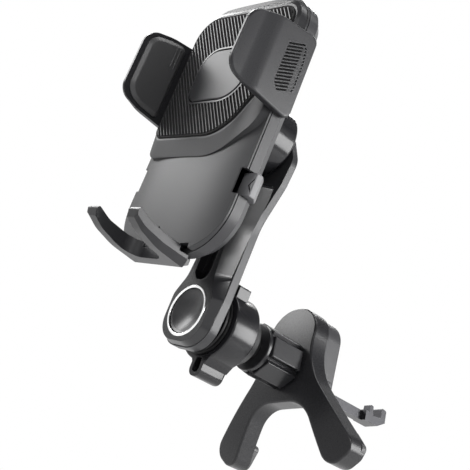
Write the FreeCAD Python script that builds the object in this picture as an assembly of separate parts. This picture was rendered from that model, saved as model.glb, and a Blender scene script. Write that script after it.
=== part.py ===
import FreeCAD, Part
import math
import os

# Air vent phone holder, in millimetres.
# x points to the holder's right as seen from its front, y back into the vent, z up along the arm.
# Shapes are drawn with y = 0 on the arm's front face and moved at the end,
# so that the origin lies on the clip's centre line where its feet press on the vent.

V = FreeCAD.Vector

# Sizes that drive everything else
CRADLE_HALF = 33.2        # half the width of the phone cradle
CRADLE_LOW = 15.0         # bottom edge of the cradle
CRADLE_TOP = 125.7        # top edge of the cradle
TOP_R = 14.0              # rounding of the cradle's top corners
LOW_R = 20.5              # rounding of the cradle's bottom corners
SHELL_BACK = -13.0        # rear face of the rear shell
SHELL_FRONT = -21.8       # where the rear shell meets the front cover
SHELL_EDGE = -17.2        # end of the shell's straight side wall
COVER_GAP = 0.4           # dark joint line between shell and cover
COVER_FRONT = -25.6       # front of the lower cover at its middle
COVER_FALL = 2.6          # it falls back this much toward its edges
PAD_SEAT = -27.0          # front of the raised plateau under the pad
PAD_FRONT = -27.9         # tops of the rubber ribs
RIB_PITCH = 1.64          # distance between ribs, square to them
RIB_WIDE = 0.55           # width of one rib
RIB_LEAN = 37.4           # ribs lean this far from upright, toward the upper left
ARM_IN = CRADLE_HALF + 0.2   # inner face of a clamp paddle, just clear of the cradle
ARM_OUT = ARM_IN + 2.8    # outer face of a clamp paddle
CLAMP_TRAVEL = 13.0       # each clamp arm opens this far
PINION_Z = 89.5           # height of the pinion between the two racks
MODULE = 0.8              # tooth module of pinion and racks
TEETH = 12                # teeth on the pinion
PRESSURE = 25.0           # pressure angle of the teeth
BALL_Y = -1.5             # centre of the cradle's ball
BALL_Z = 78.1             # height of the cradle's ball
BALL_R = 8.0              # both balls
SWIVEL_R = 15.3           # outer radius of the swivel nut
SWIVEL_BACK = 7.8         # rear rim of the swivel nut
EYE_R = 12.6              # front of the arm's eye
RING_R = 10.9             # outer radius of the bright ring
COLLAR_R = 15.5           # tightening collar
COLLAR_FRONT = 13.0
COLLAR_BACK = 26.0
CLIP_BALL_Y = 27.0        # centre of the clip's ball, on the eye's axis
KNOB_FRONT = 38.4         # ribbed nut
KNOB_BACK = 57.7
KNOB_R = 11.0
CLIP_Y = 58.0             # front of the clip body at its middle
CLIP_THICK = 8.5          # thickness of the clip body
DISH_R = 180.0            # the clip body is part of a sphere of this radius
CLIP_TURN = 13.8          # the clip stands turned this far about the eye's axis
HOOK_END = 124.0          # far end of the hook
HOOK_TRAVEL = 12.0        # the nut pulls the hook in this far
HOOK_DROP = -4.3          # hook rod below the clip's centre line
FOOT_REACH = 47.81        # middle of a foot's rubber pad from the clip's centre line
FOOT_RUBBER = 1.7         # thickness of that pad

# Plane on which the clip's feet rest, measured from the arm's front face
DISH_Y = CLIP_Y + DISH_R
BEARING_Y = DISH_Y - math.sqrt((DISH_R - CLIP_THICK) ** 2 - FOOT_REACH ** 2) + FOOT_RUBBER


def outline(corners, place):
    """Closed wire through corner points (u, v, radius), each corner rounded by its radius."""
    count = len(corners)
    sides = []
    for i in range(count):
        a = corners[i]
        b = corners[(i + 1) % count]
        sides.append(math.hypot(b[0] - a[0], b[1] - a[1]))
    cuts = []
    for i in range(count):
        prev = corners[i - 1]
        here = corners[i]
        nxt = corners[(i + 1) % count]
        la = sides[i - 1]
        lb = sides[i]
        ax = (prev[0] - here[0]) / la
        ay = (prev[1] - here[1]) / la
        bx = (nxt[0] - here[0]) / lb
        by = (nxt[1] - here[1]) / lb
        half = math.acos(max(-1.0, min(1.0, ax * bx + ay * by))) / 2.0
        if here[2] <= 0.0 or half > 1.565:
            cuts.append((here[0], here[1], here[0], here[1], None))
            continue
        reach = here[2] / math.tan(half)
        reach = min(reach, 0.495 * la, 0.495 * lb) if reach > 0.495 * min(la, lb) else reach
        radius = reach * math.tan(half)
        mx = ax + bx
        my = ay + by
        ml = math.hypot(mx, my)
        far = radius / math.sin(half) - radius
        middle = (here[0] + mx / ml * far, here[1] + my / ml * far)
        cuts.append((here[0] + ax * reach, here[1] + ay * reach,
                     here[0] + bx * reach, here[1] + by * reach, middle))
    edges = []
    for i in range(count):
        c = cuts[i]
        n = cuts[(i + 1) % count]
        if c[4] is not None:
            arc = Part.Arc(place(c[0], c[1]), place(c[4][0], c[4][1]), place(c[2], c[3]))
            edges.append(arc.toShape())
        if math.hypot(n[0] - c[2], n[1] - c[3]) > 1e-6:
            edges.append(Part.makeLine(place(c[2], c[3]), place(n[0], n[1])))
    return Part.Wire(edges)


def slab_y(corners, y0, y1):
    """Solid with an outline in x and z, from y0 to y1."""
    wire = outline(corners, lambda u, v: V(u, y0, v))
    return Part.Face(wire).extrude(V(0, y1 - y0, 0))


def slab_x(corners, x0, x1):
    """Solid with an outline in y and z, from x0 to x1."""
    wire = outline(corners, lambda u, v: V(x0, u, v))
    return Part.Face(wire).extrude(V(x1 - x0, 0, 0))


def slab_z(corners, z0, z1):
    """Solid with an outline in x and y, from z0 to z1."""
    wire = outline(corners, lambda u, v: V(u, v, z0))
    return Part.Face(wire).extrude(V(0, 0, z1 - z0))


def box(x0, x1, y0, y1, z0, z1):
    return Part.makeBox(x1 - x0, y1 - y0, z1 - z0, V(x0, y0, z0))


def rod_y(x, z, r, y0, y1):
    return Part.makeCylinder(r, y1 - y0, V(x, y0, z), V(0, 1, 0))


def ball(x, y, z, r):
    return Part.makeSphere(r, V(x, y, z))


def mirrored(shape):
    """The same shape on the other side, mirrored in x."""
    return shape.mirror(V(0, 0, 0), V(1, 0, 0))


def soften(shape, radius, keep):
    """Round the edges for which keep(centre, edge) is true."""
    edges = [e for e in shape.Edges if keep(e.CenterOfMass, e)]
    return shape.makeFillet(radius, edges)


def turned(shape):
    """The clip group stands turned about the eye's axis."""
    copy = shape.copy()
    copy.rotate(V(0, 0, 0), V(0, 1, 0), -CLIP_TURN)
    return copy


NODES = {}


# Rear shell: the cradle's back half, a moulded tray with openings for arms, buttons and foot
def body_corners(inset):
    h = CRADLE_HALF - inset
    lo = CRADLE_LOW + inset
    hi = CRADLE_TOP - inset
    rl = LOW_R - inset
    rt = TOP_R - inset
    return [(-h, lo, rl), (h, lo, rl), (h, hi, rt), (-h, hi, rt)]


BUTTON_LOW = 40.4
BUTTON_TOP = 50.1
RACK_FRONT = -19.8
RACK_BACK = -16.8
PITCH_R = MODULE * TEETH / 2.0
RACK_TALL = 4.6
SOCKET_R = 10.9
LINER_OUT = 10.6
LINER_IN = 8.3

shell = slab_y(body_corners(0.0), SHELL_FRONT, SHELL_EDGE)
rim_a = outline(body_corners(0.0), lambda u, v: V(u, SHELL_EDGE, v))
rim_b = outline(body_corners(3.4), lambda u, v: V(u, SHELL_BACK, v))
shell = shell.fuse(Part.makeLoft([rim_a, rim_b], True, True)).removeSplitter()
shell = soften(shell, 1.0, lambda c, e: abs(c.y - SHELL_BACK) < 0.01)
shell = shell.cut(slab_y(body_corners(2.2), SHELL_FRONT - 1.0, SHELL_EDGE - 0.4))
shell = shell.cut(slab_y(body_corners(4.4), SHELL_FRONT - 1.0, -15.2))
boss = rod_y(0, BALL_Z, 12.6, SHELL_BACK - 1.0, -3.4)
shell = shell.fuse(boss)
shell = shell.fuse(rod_y(0, BALL_Z, 12.6, -15.2, SHELL_BACK))
shell = shell.cut(ball(0, BALL_Y, BALL_Z, SOCKET_R))
post = rod_y(0, PINION_Z, 1.6, -20.6, -15.2)
shell = shell.fuse(post)
rack_mid = PITCH_R + 0.95 + RACK_TALL / 2.0
for side in (1, -1):
    z_mid = PINION_Z + side * (rack_mid - 0.8)
    low = z_mid - 3.6
    slot = box(CRADLE_HALF - 4.8, CRADLE_HALF + 0.8, RACK_FRONT - 0.2, RACK_BACK + 0.2, low, low + 7.2)
    if side < 0:
        slot = mirrored(slot)
    shell = shell.cut(slot)
for side in (1, -1):
    hole = box(CRADLE_HALF - 6.8, CRADLE_HALF + 6.8, -24.0, -12.0, BUTTON_LOW - 0.3, BUTTON_TOP + 0.3)
    leg = box(7.7, 13.3, -20.0, -16.4, 10.0, 20.0)
    if side < 0:
        hole = mirrored(hole)
        leg = mirrored(leg)
    shell = shell.cut(hole)
    shell = shell.cut(leg)
NODES["rear_shell"] = shell.removeSplitter()

# Front cover: a lid that falls back toward its edges, a sloping band, and a plateau for the pad
BODY_MIDDLE = (CRADLE_LOW + CRADLE_TOP) / 2.0
BODY_REACH = (CRADLE_TOP - CRADLE_LOW) / 2.0


def fallen_front(middle, reach, flat, place, along):
    """Solid behind a front line that is flat near its middle and falls back toward both ends."""
    points = []
    for i in range(-22, 23):
        u = i / 20.0
        share = max(0.0, (abs(u) - flat) / (1.0 - flat))
        points.append(place(middle + u * reach, COVER_FRONT + COVER_FALL * share ** 3))
    curve = Part.BSplineCurve()
    curve.interpolate(points)
    first = place(middle - 1.1 * reach, 0.0)
    last = place(middle + 1.1 * reach, 0.0)
    wire = Part.Wire([curve.toShape(), Part.makeLine(points[-1], last), Part.makeLine(last, first),
                      Part.makeLine(first, points[0])])
    return Part.Face(wire).extrude(along)


cover = slab_y(body_corners(0.0), -40.0, SHELL_FRONT - COVER_GAP)
side_fall = fallen_front(0.0, CRADLE_HALF, 0.0, lambda u, y: V(u, y, 0.0), V(0, 0, CRADLE_TOP + 20.0))
end_fall = fallen_front(BODY_MIDDLE, BODY_REACH, 0.5, lambda u, y: V(-CRADLE_HALF - 5.0, y, u),
                        V(2.0 * CRADLE_HALF + 10.0, 0, 0))
cover = cover.common(side_fall).common(end_fall)


def plateau_line(low, left, right, top, corner):
    """Outline of the plateau at one height: straight left side, large rounding at its lower right."""
    return [(left + 0.4, low, 4.0), (13.0, low, 24.0), (right, low + 15.0, 12.0), (right, top, corner), (left, top, 12.0)]


low_line = plateau_line(53.9, -32.6, 33.0, 124.9, 13.0)
mid_line = plateau_line(54.4, -31.4, 31.7, 123.4, 10.0)
low_wire = outline(low_line, lambda u, v: V(u, COVER_FRONT + COVER_FALL, v))
mid_wire = outline(mid_line, lambda u, v: V(u, COVER_FRONT - 0.35, v))
crest = [(-30.6, 61.9, 4.5), (15.0, 61.9, 22.0), (30.7, 86.0, 19.0), (30.7, 120.9, 8.0), (-31.1, 121.6, 11.8)]
top_wire = outline(crest, lambda u, v: V(u, PAD_SEAT, v))
plateau = Part.makeLoft([low_wire, mid_wire, top_wire], True, True)
cover = cover.fuse(plateau)
cover = cover.cut(slab_y(body_corners(5.0), -23.3, -20.0))
pad_corners = [(-30.2, 63.0, 4.0), (14.0, 63.0, 20.5), (29.8, 87.2, 18.0), (29.8, 119.6, 7.0),
               (-30.4, 120.4, 11.0)]
pad_hole = [(-30.35, 62.85, 4.0), (14.1, 62.85, 20.5), (29.95, 87.1, 18.0), (29.95, 119.75, 7.0),
            (-30.55, 120.55, 11.0)]
cover = cover.cut(slab_y(pad_hole, -30.0, -26.2))
for side in (1, -1):
    notch = box(CRADLE_HALF - 6.8, CRADLE_HALF + 6.8, -23.5, -20.0, BUTTON_LOW - 0.3, BUTTON_TOP + 0.3)
    mouth = slab_y([(13.6, 12.0, 0), (20.2, 12.0, 0), (20.2, 18.4, 0.4), (13.6, 17.4, 0.4)], -30.0, -20.0)
    if side < 0:
        notch = mirrored(notch)
        mouth = mirrored(mouth)
    cover = cover.cut(notch)
    cover = cover.cut(mouth)
cover = cover.cut(rod_y(-2.0, 23.2, 0.75, -30.0, COVER_FRONT + 2.0))
NODES["front_cover"] = cover.removeSplitter()

# Ribbed rubber pad that the phone's back rests on
island = [(-17.0, 79.0, 5.0), (16.0, 79.0, 13.0), (16.0, 102.5, 5.0), (-17.0, 102.5, 9.0)]
island_hole = [(-17.5, 78.5, 5.3), (16.5, 78.5, 13.3), (16.5, 103.3, 5.3), (-17.5, 103.3, 9.3)]
pad = slab_y(pad_corners, -27.2, -26.3)
rib_field = slab_y([(-29.3, 63.9, 3.2), (13.5, 63.9, 19.5), (28.9, 87.5, 17.0), (28.9, 118.7, 6.2),
                    (-29.5, 119.5, 10.2)], -30.0, -26.9)
rib_field = rib_field.cut(slab_y([(-18.4, 77.6, 5.6), (17.4, 77.6, 13.8), (17.4, 104.2, 5.6),
                                  (-18.4, 104.2, 9.6)], -31.0, -26.0))
lean = math.radians(RIB_LEAN)
step = RIB_PITCH / math.cos(lean)
ribs = []
for i in range(-33, 34):
    rib = Part.makeBox(RIB_WIDE, PAD_FRONT * -1.0 - 26.9, 140.0, V(-RIB_WIDE / 2.0, PAD_FRONT, -70.0))
    rib.rotate(V(0, 0, 0), V(0, 1, 0), -RIB_LEAN)
    rib.translate(V(i * step, 0, 92.0))
    rib = rib.common(rib_field)
    if rib.Volume > 0.2:
        ribs.append(rib)
frame_out = slab_y(pad_corners, -27.7, -27.1)
frame_in = slab_y([(-29.4, 63.8, 3.3), (13.6, 63.8, 19.6), (29.0, 87.4, 17.1), (29.0, 118.8, 6.3),
                   (-29.6, 119.6, 10.3)], -28.0, -27.0)
pad = pad.fuse(frame_out.cut(frame_in))
pad = pad.fuse(ribs)
pad = pad.cut(slab_y(island_hole, -30.0, -26.8))
NODES["phone_pad"] = pad.removeSplitter()

# Smooth leaf-shaped plate in the middle of the pad
leaf = slab_y(island, -28.3, -26.8)
leaf = soften(leaf, 0.45, lambda c, e: c.y < -28.2)
NODES["pad_island"] = leaf


# Clamp arms: bent paddles with a grip patch, each carrying a rack inside the cradle
def rack_bar(side):
    """Toothed bar of one arm; the right arm's runs above the pinion, the left one's below."""
    pitch = math.pi * MODULE
    add = 0.62
    root = 0.95
    half = pitch / 4.0 - 0.07
    lean_t = math.tan(math.radians(PRESSURE))
    bar = box(-16.0, ARM_IN, RACK_FRONT, RACK_BACK, root, root + RACK_TALL)
    teeth = []
    for i in range(-6, 5):
        x = (i + 0.5) * pitch
        pts = [V(x - half - root * lean_t, RACK_FRONT, root + 0.1), V(x - half + add * lean_t, RACK_FRONT, -add),
               V(x + half - add * lean_t, RACK_FRONT, -add), V(x + half + root * lean_t, RACK_FRONT, root + 0.1)]
        wire = Part.makePolygon(pts + [pts[0]])
        teeth.append(Part.Face(wire).extrude(V(0, RACK_BACK - RACK_FRONT, 0)))
    bar = bar.fuse(teeth).removeSplitter()
    bar.translate(V(0, 0, PITCH_R))
    if side < 0:
        bar.rotate(V(0, 0, 0), V(0, 1, 0), 180.0)
    bar.translate(V(0, 0, PINION_Z))
    return bar


RIGHT_PADDLE = (74.0, 109.6)   # low and top edge at the back; the left arm hangs below the pinion
LEFT_PADDLE = (69.0, 108.6)    # and reaches lower
BEND_IN = 0.6                  # the front of a paddle bends inward by this


def paddle_bend(outer, inner):
    """Section of a paddle or its rubber pad in x and y, between two distances from the middle."""
    return [(outer, -14.0, 0), (outer, -37.5, 22.0), (outer - BEND_IN, -51.0, 0),
            (inner - BEND_IN, -51.0, 0), (inner, -37.5, 22.0), (inner, -14.0, 0)]


def paddle_side(low, top, inset):
    """Side view of a paddle in y and z, or of its rubber pad when inset from the front."""
    return [(-15.9, low + inset * 0.6, 3.0), (-16.6, top - inset * 0.6, 3.2), (-36.0, top - 2.0 - inset * 0.7, 30.0),
            (-49.0 + inset, top - 5.8 - inset * 0.6, 8.5 - inset), (-49.2 + inset, low + 4.3 + inset * 0.7, 9.0 - inset),
            (-39.0, low + 1.8 + inset * 0.8, 20.0)]


def paddle(low, top):
    """Bent plate of one clamp arm, rounded outside and bevelled inside."""
    plate = slab_z(paddle_bend(ARM_OUT, ARM_IN), low - 10.0, top + 10.0)
    plate = plate.common(slab_x(paddle_side(low, top, 0.0), ARM_IN - 5.0, ARM_OUT + 5.0))
    return soften(plate, 0.8, lambda c, e: e.Length > 2.5 and c.x > ARM_OUT - 0.1 - max(0.0, (-37.0 - c.y) * 0.06))


right_arm = paddle(RIGHT_PADDLE[0], RIGHT_PADDLE[1])
left_arm = paddle(LEFT_PADDLE[0], LEFT_PADDLE[1])

# Grip patch on the right paddle: a slanted field of grooves that grow deeper toward the front
patch = [(-29.2, 101.6, 2.5), (-29.2, 84.0, 3.0), (-25.6, 80.2, 2.6), (-21.4, 81.2, 2.6), (-19.2, 85.5, 4.0),
         (-19.3, 96.0, 6.0), (-20.6, 103.8, 3.0), (-25.6, 103.8, 2.2)]
patch_solid = slab_x(patch, ARM_OUT - 2.0, ARM_OUT + 2.0)
GROOVES = 15
GROOVE_RISE = 26.0        # the grooves rise this steeply toward the back
grooves = []
for i in range(GROOVES):
    groove = Part.makeBox(3.0, 16.0, 0.75, V(0, -8.0, -0.375))
    groove.rotate(V(0, 0, 0), V(0, 0, 1), -3.2)
    groove.rotate(V(0, 0, 0), V(1, 0, 0), GROOVE_RISE)
    groove.translate(V(ARM_OUT - 0.75, -24.4, 82.6 + i * 1.405))
    grooves.append(groove)
cutter = grooves[0].multiFuse(grooves[1:]).common(patch_solid)
right_arm = right_arm.cut(cutter)
NODES["right_clamp_arm"] = right_arm
NODES["left_clamp_arm"] = mirrored(left_arm)
NODES["right_rack"] = rack_bar(1)
NODES["left_rack"] = rack_bar(-1)


# Rubber pads inside the paddles: a flat face with a wide bevel round it
def clamp_pad(low, top):
    """Rubber pad of one arm, set back from the paddle's rim, with two fine ribs near the cradle."""
    body = slab_z(paddle_bend(ARM_IN - 0.02, ARM_IN - 1.8), low - 10.0, top + 10.0)
    wide = paddle_side(low, top, 2.2)
    slim = paddle_side(low, top, 3.7)
    wide_wire = outline([(max(-49.0, u), v, r) for u, v, r in wide], lambda u, v: V(ARM_IN + 0.5, u, v))
    slim_wire = outline(slim, lambda u, v: V(ARM_IN - 2.6, u, v))
    body = body.common(Part.makeLoft([wide_wire, slim_wire], True, True))
    body = body.cut(box(ARM_IN - 8.0, ARM_IN + 8.0, -28.6, 0.0, low - 10.0, top + 10.0))
    for y in (-33.6, -31.9):
        body = body.fuse(box(ARM_IN - 2.05, ARM_IN - 1.0, y, y + 0.35, low + 25.0, low + 35.0))
    return body.removeSplitter()


NODES["right_clamp_pad"] = clamp_pad(RIGHT_PADDLE[0], RIGHT_PADDLE[1])
NODES["left_clamp_pad"] = mirrored(clamp_pad(LEFT_PADDLE[0], LEFT_PADDLE[1]))


# Pinion that keeps the two arms moving together
def involute(angle):
    return math.tan(angle) - angle


def pinion():
    base = PITCH_R * math.cos(math.radians(PRESSURE))
    root = PITCH_R - 0.92
    tip = PITCH_R + 0.6
    half_pitch = math.pi / (2.0 * TEETH) - 0.07 / PITCH_R
    start = involute(math.radians(PRESSURE))
    pts = []
    for t in range(TEETH):
        mid = math.pi / 2.0 + t * 2.0 * math.pi / TEETH
        flank = [(root, half_pitch + start)]
        for k in range(5):
            r = base + (tip - base) * k / 4.0
            a = math.acos(min(1.0, base / r))
            flank.append((r, half_pitch + start - involute(a)))
        for r, h in flank:
            pts.append((r, mid - h))
        for r, h in reversed(flank):
            pts.append((r, mid + h))
    line = [V(r * math.cos(a), RACK_FRONT, PINION_Z + r * math.sin(a)) for r, a in pts]
    wire = Part.makePolygon(line + [line[0]])
    gear = Part.Face(wire).extrude(V(0, RACK_BACK - RACK_FRONT, 0))
    return gear.cut(rod_y(0, PINION_Z, 1.66, -30.0, 0.0))


NODES["clamp_pinion"] = pinion()

# Release buttons at the sides: blocks that stand out of the cradle, with an arrow cut into the front
BUTTON_OUT = CRADLE_HALF + 3.2
BUTTON_FRONT = -20.0
button_plan = [(CRADLE_HALF - 4.2, BUTTON_FRONT, 0), (BUTTON_OUT, BUTTON_FRONT, 0.5), (BUTTON_OUT, -16.9, 0.5),
               (BUTTON_OUT - 3.6, -13.4, 0.8), (CRADLE_HALF - 4.2, -13.4, 0)]
button = slab_z(button_plan, BUTTON_LOW, BUTTON_TOP)
button = soften(button, 0.5, lambda c, e: c.x > CRADLE_HALF - 2.0
                and (abs(c.z - BUTTON_LOW) < 0.01 or abs(c.z - BUTTON_TOP) < 0.01))
tip = BUTTON_OUT - 2.7
arrow = slab_y([(tip, 44.9, 0), (tip + 2.35, 47.9, 0), (tip + 2.35, 46.95, 0), (tip + 0.75, 44.9, 0),
                (tip + 2.35, 42.85, 0), (tip + 2.35, 41.9, 0)], BUTTON_FRONT - 1.0, BUTTON_FRONT + 0.45)
button = button.cut(arrow)
NODES["right_release_button"] = button
NODES["left_release_button"] = mirrored(button)

# Foot: two forward prongs with a cable gap between them, on two rails that slide into the cradle
foot_top = [(-16.4, 14.8, 0), (-25.9, 14.8, 0), (-26.1, 16.9, 0), (-33.0, 17.3, 20.0), (-41.5, 18.5, 14.0),
            (-47.7, 21.3, 0.6), (-48.8, 20.2, 0.4)]
foot_deep = foot_top + [(-48.2, 17.2, 0.8), (-43.2, 14.2, 12.0), (-34.0, 11.4, 30.0), (-20.8, 10.0, 0.8),
                        (-16.4, 12.8, 0)]
foot_shallow = foot_top + [(-48.3, 18.2, 0.8), (-43.6, 15.9, 12.0), (-34.0, 14.1, 30.0), (-20.9, 13.2, 0.8),
                           (-16.4, 13.1, 0)]
foot = slab_x(foot_deep, -15.7, 15.7)
deep_wire = outline(foot_deep, lambda u, v: V(15.7, u, v))
side_wire = outline(foot_shallow, lambda u, v: V(17.6, u, v))
bevel = Part.makeLoft([deep_wire, side_wire], True, True)
foot = foot.multiFuse([bevel, mirrored(bevel)])
plan = [(-17.6, -50.0, 0), (17.6, -50.0, 0), (17.6, -20.8, 0.8), (13.4, -20.2, 0.5), (13.2, -16.5, 0.5),
        (-13.2, -16.5, 0.5), (-13.4, -20.2, 0.5), (-17.6, -20.8, 0.8)]
foot = foot.common(slab_z(plan, 0.0, 30.0))
gap = slab_z([(-11.0, -60.0, 0), (11.0, -60.0, 0), (11.0, -25.6, 6.5), (-11.0, -25.6, 6.5)], 0.0, 30.0)
foot = foot.cut(gap)
for side in (1, -1):
    rail = box(8.0, 13.0, RACK_FRONT, RACK_BACK, 14.0, 36.0)
    if side < 0:
        rail = mirrored(rail)
    foot = foot.fuse(rail)
NODES["foot_bracket"] = foot.removeSplitter()

# Swivel nut that clamps the cradle's ball
nut = rod_y(0, BALL_Z, SWIVEL_R, SHELL_BACK + 0.3, SWIVEL_BACK)
nut = soften(nut, 1.5, lambda c, e: abs(c.y - SWIVEL_BACK) < 0.01)
nut = soften(nut, 0.5, lambda c, e: abs(c.y - SHELL_BACK - 0.3) < 0.01)
nut = nut.cut(rod_y(0, BALL_Z, 12.9, -20.0, -2.9))
nut = nut.cut(Part.makeSphere(SOCKET_R, V(0, BALL_Y, BALL_Z), V(0, 1, 0)))
nut = nut.cut(rod_y(0, BALL_Z, 9.0, 0.0, 20.0))
NODES["swivel_nut"] = nut

# Two-part seat around that ball: a cup in front and a ring behind
seat = ball(0, BALL_Y, BALL_Z, LINER_OUT).cut(ball(0, BALL_Y, BALL_Z, LINER_IN))
NODES["cradle_ball_cup"] = seat.common(box(-20, 20, -20.0, BALL_Y - 0.9, 50, 110))
ring = seat.common(box(-20, 20, BALL_Y + 0.9, 20.0, 50, 110))
NODES["cradle_ball_ring"] = ring.cut(rod_y(0, BALL_Z, 7.4, -20.0, 20.0))

# Arm: slim front body flaring back to a flat rear plate, with an eye at its lower end
PLATE_F0 = 4.2
PLATE_B0 = 8.5
PLATE_F1 = 10.0
PLATE_B1 = 13.3


def wedge(y_low, y_high, back):
    """Half space in front of (or behind) the plane through y_low at z 0 and y_high at the ball."""
    slope = (y_high - y_low) / BALL_Z
    y_a = y_low - 40.0 * slope
    y_b = y_low + 140.0 * slope
    far = 60.0 if back else -60.0
    pts = [V(-40, y_a, -40), V(-40, y_b, 140), V(-40, far, 140), V(-40, far, -40), V(-40, y_a, -40)]
    return Part.Face(Part.makePolygon(pts)).extrude(V(80, 0, 0))


ARM_TOP = BALL_Z - SWIVEL_R - 3.4     # the front body ends clear of the swivel nut when it tilts
WAIST_Z = 0.54 * BALL_Z
front_line = [(-12.55, -12.6, 12.5), (12.55, -12.6, 12.5), (12.6, 6.5, 7.0), (8.3, 14.5, 12.0),
              (6.3, 36.0, 60.0), (5.9, ARM_TOP - 2.0, 1.6), (-5.9, ARM_TOP - 2.0, 1.6), (-6.3, 36.0, 60.0),
              (-8.3, 14.5, 12.0), (-12.6, 6.5, 7.0)]
rear_line = [(-15.2, -15.3, 15.15), (15.2, -15.3, 15.15), (15.3, 7.5, 9.0), (14.0, 18.5, 14.0),
             (12.2, 0.5 * BALL_Z, 40.0), (12.6, ARM_TOP, 2.0), (-12.6, ARM_TOP, 2.0), (-12.2, 0.5 * BALL_Z, 40.0),
             (-14.0, 18.5, 14.0), (-15.3, 7.5, 9.0)]
wire_a = outline(front_line, lambda u, v: V(u, 0.0, v))
wire_b = outline(rear_line, lambda u, v: V(u, 8.0, v))
arm = Part.makeLoft([wire_a, wire_b], True, True)
arm = arm.common(wedge(PLATE_F0, PLATE_F1, False))
SLOT_TOP = ARM_TOP - 5.4
slot = slab_y([(-4.8, 13.3, 4.7), (4.8, 13.3, 4.7), (4.7, SLOT_TOP, 1.5), (-4.7, SLOT_TOP, 1.5)], -5.0, 3.6)
arm = arm.cut(slot)
inner_slot = slab_y([(-3.9, 14.6, 3.8), (3.9, 14.6, 3.8), (3.9, SLOT_TOP - 1.0, 1.2),
                     (-3.9, SLOT_TOP - 1.0, 1.2)], 3.0, 5.2)
arm = arm.cut(inner_slot.common(wedge(PLATE_F0 - 0.7, PLATE_F1 - 0.7, False)))
arm = arm.cut(rod_y(0, 0, RING_R, -1.0, 3.4))
arm = arm.cut(rod_y(0, 0, 6.56, -1.0, 20.0))
NODES["arm_front_body"] = arm.removeSplitter()

plate_half = [(13.95, -14.0, 13.9), (14.0, 7.0, 10.0), (12.7, 21.0, 30.0), (11.0, WAIST_Z, 30.0),
              (14.9, BALL_Z - 17.6, 12.0), (15.2, BALL_Z - 5.6, 9.0), (6.0, BALL_Z + 7.2, 7.0)]
plate_line = plate_half + [(-u, v, r) for u, v, r in reversed(plate_half)]
plate = slab_y(plate_line, -5.0, 25.0)
plate = plate.common(wedge(PLATE_B0, PLATE_B1, False)).common(wedge(PLATE_F0, PLATE_F1, True))
plate = soften(plate, 0.7, lambda c, e: c.y > 8.05 + (c.z + 6.0) * 0.0615 - 0.6 and e.Length > 3.0
               and abs(c.y - (PLATE_B0 + c.z * (PLATE_B1 - PLATE_B0) / BALL_Z)) < 0.3)
plate = plate.fuse(rod_y(0, 0, 10.5, 6.0, 9.0))
plate = plate.cut(rod_y(0, 0, 6.56, -1.0, 20.0))
plate = plate.cut(rod_y(0, BALL_Z, 3.05, 0.0, 30.0))
NODES["arm_rear_plate"] = plate.removeSplitter()

# Ball stud that carries the cradle, riveted through the rear plate
stud = ball(0, BALL_Y, BALL_Z, BALL_R)
stud = stud.fuse(rod_y(0, BALL_Z, 3.9, BALL_Y, 9.96))
stud = stud.fuse(rod_y(0, BALL_Z, 3.0, 8.0, 13.6))
stud = stud.fuse(Part.makeCone(4.6, 3.4, 0.9, V(0, 13.5, BALL_Z), V(0, 1, 0)))
NODES["cradle_ball_stud"] = stud.removeSplitter()

# Bright ring pressed into the eye
trim = rod_y(0, 0, RING_R - 0.03, -0.35, 3.4).cut(rod_y(0, 0, 9.75, -2.0, 6.0))
trim = soften(trim, 0.3, lambda c, e: c.y < -0.3)
NODES["eye_trim_ring"] = trim

# Pivot: a dished head in the eye, a shaft through it and the socket of the clip's ball behind
head = rod_y(0, 0, 9.45, 0.3, 3.3)
head = head.cut(ball(0, -24.0, 0, 26.2))
pivot = head.fuse(rod_y(0, 0, 6.5, 1.8, 13.0))
NODES["pivot_head"] = pivot.removeSplitter()
socket = rod_y(0, 0, 12.2, 12.8, 26.3)
socket = socket.fuse(Part.makeCone(12.2, 10.5, 5.7, V(0, 26.3, 0), V(0, 1, 0)))
socket = socket.cut(ball(0, CLIP_BALL_Y, 0, SOCKET_R))
socket = socket.cut(rod_y(0, 0, 6.5, 0.0, 13.0))
NODES["pivot_socket"] = socket.removeSplitter()
disc = rod_y(0, 0, 13.4, 9.5, 12.7).cut(rod_y(0, 0, 6.56, 0.0, 20.0))
disc = soften(disc, 0.5, lambda c, e: abs(e.BoundBox.XLength - 26.8) < 0.01)
NODES["damping_disc"] = disc

# Tightening collar round the socket, with a grip block above and a hollow lug below
collar = rod_y(0, 0, COLLAR_R, COLLAR_FRONT, COLLAR_BACK)
collar = soften(collar, 1.0, lambda c, e: e.BoundBox.XLength > 30.0)
wing = slab_y([(8.4, 9.0, 0), (12.6, 8.0, 0), (12.6, 17.9, 0.9), (8.6, 17.9, 0.9)], COLLAR_FRONT, 19.4)
collar = collar.fuse(wing)
lug = slab_y([(-1.4, -11.0, 0), (-1.1, -22.3, 1.8), (7.6, -22.3, 1.8), (8.2, -11.0, 0)], COLLAR_FRONT - 0.1, 25.0)
collar = collar.fuse(lug)
collar = collar.cut(slab_y([(0.5, -16.6, 0.8), (0.7, -20.8, 1.0), (5.9, -20.8, 1.0), (6.2, -16.6, 0.8)],
                           10.0, 22.6))
collar = collar.cut(rod_y(0, 0, 12.26, 0.0, 40.0))
NODES["tightening_collar"] = collar.removeSplitter()

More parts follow.
